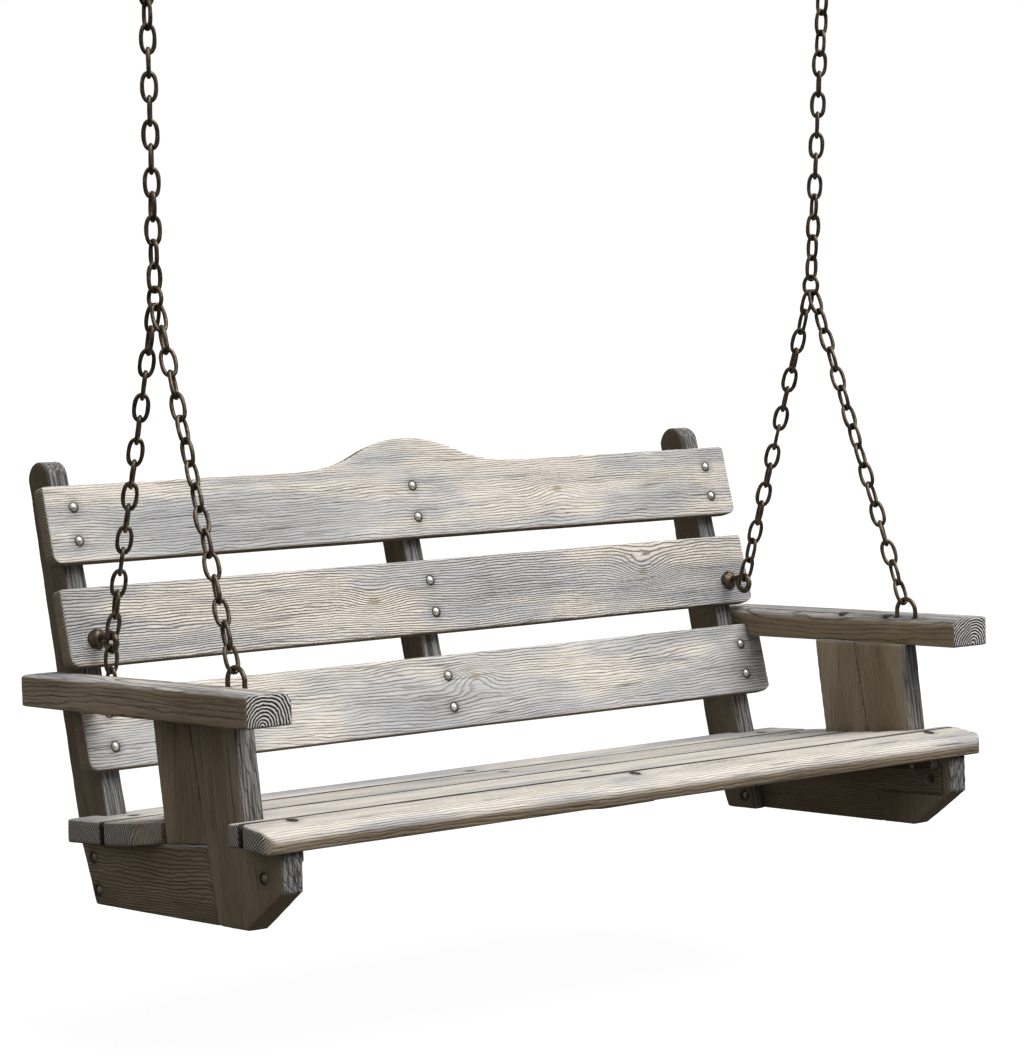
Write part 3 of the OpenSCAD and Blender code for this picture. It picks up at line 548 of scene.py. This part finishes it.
def side_frame(side, name):
    """One side's arm, post, uprights, rail and cleat; side is -1 on the left and 1 on the right."""
    seed = 20 + side
    deep, upright = rot_x(-LEAN) @ DEEP, rot_x(-LEAN) @ UPRIGHT
    dark = dict(sun=FORWARD, warmth=0.3, rubbed=0, voxel=0.003)
    board(name + "_arm", deep, seed, pith=(-side * 0.004, -0.030), ring=0.0054, sun=UP, shade=0.2, warmth=0.6,
          tone=0.25, rubbed=0.15, voxel=0.003)
    board(name + "_back_post", rot_x(-BACK) @ UPRIGHT, seed + 3, pith=(0.09, -side * 0.05), shade=0.55,
          tone=0.6, **dark)
    board(name + "_rear_upright", upright, seed + 6, grow=(0.003, 0.0012), pith=(0.17, -side * 0.06),
          shade=0.2, tone=0.75, **dark)
    board(name + "_front_upright", rot_x(-LEAN - 8) @ UPRIGHT, seed + 9, grow=(0.003, 0.0008),
          pith=(0.16, -side * 0.05), shade=0.2, tone=0.75, end_dark=0.8, **dark)
    board(name + "_side_rail", deep, seed + 12, pith=(side * 0.12, 0.14), sun=UP, shade=0.35, warmth=0.5,
          end_dark=0.6, rubbed=0)
    board(name + "_seat_cleat", deep, seed + 15, pith=(side * 0.08, -0.03), sun=UP, shade=0.8)


back_boards()
seat_boards()
side_frame(-1, "left")
side_frame(1, "right")
board("centre_back_post", rot_x(-BACK) @ UPRIGHT, 11, pith=(0.10, 0.02), sun=FORWARD, shade=0.6, warmth=0.3,
      tone=0.6)
board("centre_seat_batten", rot_x(-LEAN) @ DEEP, 12, pith=(0.02, -0.08), sun=UP, shade=0.8)


# ---- chains -------------------------------------------------------------------------
SEEN_FROM = Vector((-0.64, -0.77, 0.0))     # the chains twist so that their links lie square to this
LINK_HALF_WIDTH = 0.0109
LINK_WIRE = 0.0035          # radius of the wire
BEND_ROOM = 0.0033          # from a link's outside to the middle of its wire
BLUNT = 2 / 2.35            # an oval with this power is fuller than an ellipse, for which it is 1
LOOP_STEPS, WIRE_STEPS = 36, 10     # points along a link and round its wire
EASE_LINKS = 4              # the twist comes in over this many links at each end
SWAY = 7                    # and each link is off by up to this many degrees


def oval(half_length, rng):
    """One link of round wire, slightly uneven, long in Y and flat in XY, as points and quads."""
    a = np.linspace(0, 2 * math.pi, LOOP_STEPS, endpoint=False)
    path = np.stack([LINK_HALF_WIDTH * np.sign(np.cos(a)) * np.abs(np.cos(a)) ** BLUNT,
                     half_length * np.sign(np.sin(a)) * np.abs(np.sin(a)) ** BLUNT, 0 * a], 1)
    tangent = np.roll(path, -1, 0) - np.roll(path, 1, 0)
    tangent /= np.linalg.norm(tangent, axis=1)[:, None]
    outward = np.stack([tangent[:, 1], -tangent[:, 0], 0 * a], 1)
    bulge = 0.05 * np.sin(2 * a + rng.uniform(0, 6)) + 0.04 * np.sin(5 * a + rng.uniform(0, 6))
    thick = LINK_WIRE * (1 + bulge)
    b = np.linspace(0, 2 * math.pi, WIRE_STEPS, endpoint=False)
    section = (np.cos(b)[None, :, None] * outward[:, None]
               + np.sin(b)[None, :, None] * np.array([0, 0, 1.0]))
    rings = path[:, None] + thick[:, None, None] * section
    quads = []
    for i in range(LOOP_STEPS):
        here, ahead = i * WIRE_STEPS, (i + 1) % LOOP_STEPS * WIRE_STEPS
        for j in range(WIRE_STEPS):
            beside = (j + 1) % WIRE_STEPS
            quads.append((here + j, here + beside, ahead + beside, ahead + j))
    return rings.reshape(-1, 3), quads


def quarter_turn(degrees):
    """The same angle less whole quarter turns, between -45 and 45."""
    return (degrees + 45) % 90 - 45


def chain(node, seed, twisted=True):
    """Replaces a run of chain with oval links at the same places, twisted square to SEEN_FROM in its middle."""
    rng = np.random.default_rng(seed)
    links = sorted(loose_parts(NODES[node].data), key=lambda p: -p[:, 2].mean())
    points, quads, turn = [], [], None
    for k, link_points in enumerate(links):
        centre = (link_points.max(0) + link_points.min(0)) / 2
        _, _, axes = np.linalg.svd(link_points - link_points.mean(0), full_matrices=False)
        along = axes[0] if axes[0][2] > 0 else -axes[0]
        across = axes[1]
        reach = (link_points - centre) @ along
        if turn is None:
            wanted = np.cross(along, np.array(SEEN_FROM))
            angle = math.atan2(np.cross(across, wanted) @ along, across @ wanted)
            turn = quarter_turn(math.degrees(angle)) if twisted else 0.0
        ease = min(1.0, (k + 0.5) / EASE_LINKS, (len(links) - 0.5 - k) / EASE_LINKS)
        twist = math.radians(turn * ease + (rng.uniform(-SWAY, SWAY) if twisted else 0))
        across = math.cos(twist) * across + math.sin(twist) * np.cross(along, across)
        shape, faces = oval((reach.max() - reach.min()) / 2 - BEND_ROOM, rng)
        flat = np.cross(across, along)
        quads += [tuple(i + k * len(shape) for i in f) for f in faces]
        points.append(centre + shape @ np.stack([across, along, flat]))
    mesh = bpy.data.meshes.new(node + "_worn")
    mesh.from_pydata(np.concatenate(points).tolist(), [], quads)
    mesh.materials.append(IRON)
    take_over(add_object(node + "_worn", mesh), node)


for number, name in enumerate(("upper_chain", "front_chain", "rear_chain")):
    chain("left_" + name, 60 + number)
    chain("right_" + name, 70 + number)
for number, name in enumerate(("left_top_link", "left_bottom_link", "right_top_link", "right_bottom_link",
                               "left_chain_tail")):
    chain(name, 80 + number, twisted=False)

# The bosses at the eye bolts are lumps of rusty iron
LUMP = 0.0012
lumps = shaped("eye_bolt_bosses", Matrix.Identity(4), 0.0015, 2)
co = points_of(lumps.data)
co += normals_of(lumps.data) * (LUMP + LUMP * waves(co, 0.02, 0.006, 1.0, 90))[:, None]
lumps.data.vertices.foreach_set("co", co.ravel())
lumps.data.update()
lumps.data.materials.append(IRON)
take_over(lumps, "eye_bolt_bosses")

PLAIN_WOOD = wood("wood_dowels", (0.02, 0.02), 40)
SLOTS = {"chain_iron": IRON, "zinc_steel": ZINC, "dark_steel": TARNISHED}
for name, node in NODES.items():
    if not node.hide_render:
        node.data.materials.clear()
        node.data.materials.append(SLOTS.get(frame_slot(name), PLAIN_WOOD))

# ---- stage --------------------------------------------------------------------------
SEAT_ABOVE_FLOOR = 0.44
FLOOR_REACH = 60
floor_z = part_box("seat_board_3")[1].z - SEAT_ABOVE_FLOOR
corners = [(x * FLOOR_REACH, y * FLOOR_REACH, floor_z) for x, y in ((-1, -1), (1, -1), (1, 1), (-1, 1))]
floor_mesh = bpy.data.meshes.new("floor")
floor_mesh.from_pydata(corners, [], [(0, 1, 2, 3)])
floor = bpy.data.objects.new("floor", floor_mesh)
bpy.context.scene.collection.objects.link(floor)
pale = Tree("pale_floor")
mottle = pale.noise((0.8, 0.8, 0.8))
pale.put(pale.mix(mottle, (0.12, 0.12, 0.12), (0.14, 0.14, 0.14)), pale.shader.inputs["Base Color"])
pale.shader.inputs["Roughness"].default_value = 0.9
pale.shader.inputs["Specular IOR Level"].default_value = 0.0
pale.shader.inputs["Emission Color"].default_value = (1, 1, 1, 1)
pale.shader.inputs["Emission Strength"].default_value = 0.93
floor_mesh.materials.append(pale.material)
floor.visible_diffuse = False
floor.visible_glossy = False

# Soft light from above, dimmer and warmer from below; the backdrop itself is white
LIGHT_FROM_BELOW = (0.085, 0.07, 0.052, 1)
LIGHT_FROM_ABOVE = (0.60, 0.60, 0.60, 1)
world = bpy.data.worlds.new("studio")
bpy.context.scene.world = world
world.use_nodes = True
sky = world.node_tree.nodes
link = world.node_tree.links.new
lighting = sky["Background"]
backdrop = sky.new("ShaderNodeBackground")
backdrop.inputs["Color"].default_value = (1, 1, 1, 1)
direction = sky.new("ShaderNodeTexCoord")
height = sky.new("ShaderNodeSeparateXYZ")
ramp = sky.new("ShaderNodeValToRGB")
span = sky.new("ShaderNodeMapRange")
span.inputs["From Min"].default_value = -1
link(direction.outputs["Generated"], height.inputs[0])
link(height.outputs["Z"], span.inputs["Value"])
link(span.outputs[0], ramp.inputs["Fac"])
lowest, highest = ramp.color_ramp.elements
lowest.color = LIGHT_FROM_BELOW
lowest.position = 0.24
highest.color = LIGHT_FROM_ABOVE
highest.position = 0.85
link(ramp.outputs[0], lighting.inputs["Color"])
rays = sky.new("ShaderNodeLightPath")
choose = sky.new("ShaderNodeMixShader")
link(rays.outputs["Is Camera Ray"], choose.inputs[0])
link(lighting.outputs[0], choose.inputs[1])
link(backdrop.outputs[0], choose.inputs[2])
link(choose.outputs[0], sky["World Output"].inputs[0])

TO_SUN = Vector((0.26, -0.50, 0.83))
sun_data = bpy.data.lights.new("key", "SUN")
sun_data.energy = 3.9
sun_data.angle = math.radians(50)
sun_data.color = (1.0, 0.985, 0.965)
sun_lamp = bpy.data.objects.new("key", sun_data)
sun_lamp.rotation_euler = TO_SUN.to_track_quat("Z", "Y").to_euler()
bpy.context.scene.collection.objects.link(sun_lamp)

# ---- camera ---------------------------------------------------------------------------
# Its place and its three angles are given in the bench's own axes, whose origin is the lower front
# edge of the bottom back board; the rings hold the bench at RING in those axes.
RING = Vector((0, -0.170, 0.7509))
EYE = Vector((-3.942, -4.7996, 0.6728))
YAW, PITCH, ROLL = math.radians(40.36), math.radians(-3.03), math.radians(-1.75)
ring_low, ring_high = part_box("left_junction_ring")
ring_row = Vector((0, (ring_low.y + ring_high.y) / 2, (ring_low.z + ring_high.z) / 2))
to_row = Matrix.Translation(ring_row) @ rot_x(-LEAN) @ Matrix.Translation(-RING)
ahead = Vector((math.sin(YAW) * math.cos(PITCH), math.cos(YAW) * math.cos(PITCH), math.sin(PITCH)))
level = Vector((math.cos(YAW), -math.sin(YAW), 0))
above = level.cross(ahead)
right = math.cos(ROLL) * level + math.sin(ROLL) * above
up = -math.sin(ROLL) * level + math.cos(ROLL) * above
camera_data = bpy.data.cameras.new("camera")
camera_data.lens = 122.5
camera_data.clip_end = 200
camera = bpy.data.objects.new("camera", camera_data)
bpy.context.scene.collection.objects.link(camera)
facing = Matrix((right, up, -ahead)).transposed().to_4x4()
camera.matrix_world = to_row @ Matrix.Translation(EYE) @ facing
bpy.context.scene.camera = camera
bpy.context.scene.view_settings.view_transform = "Standard"
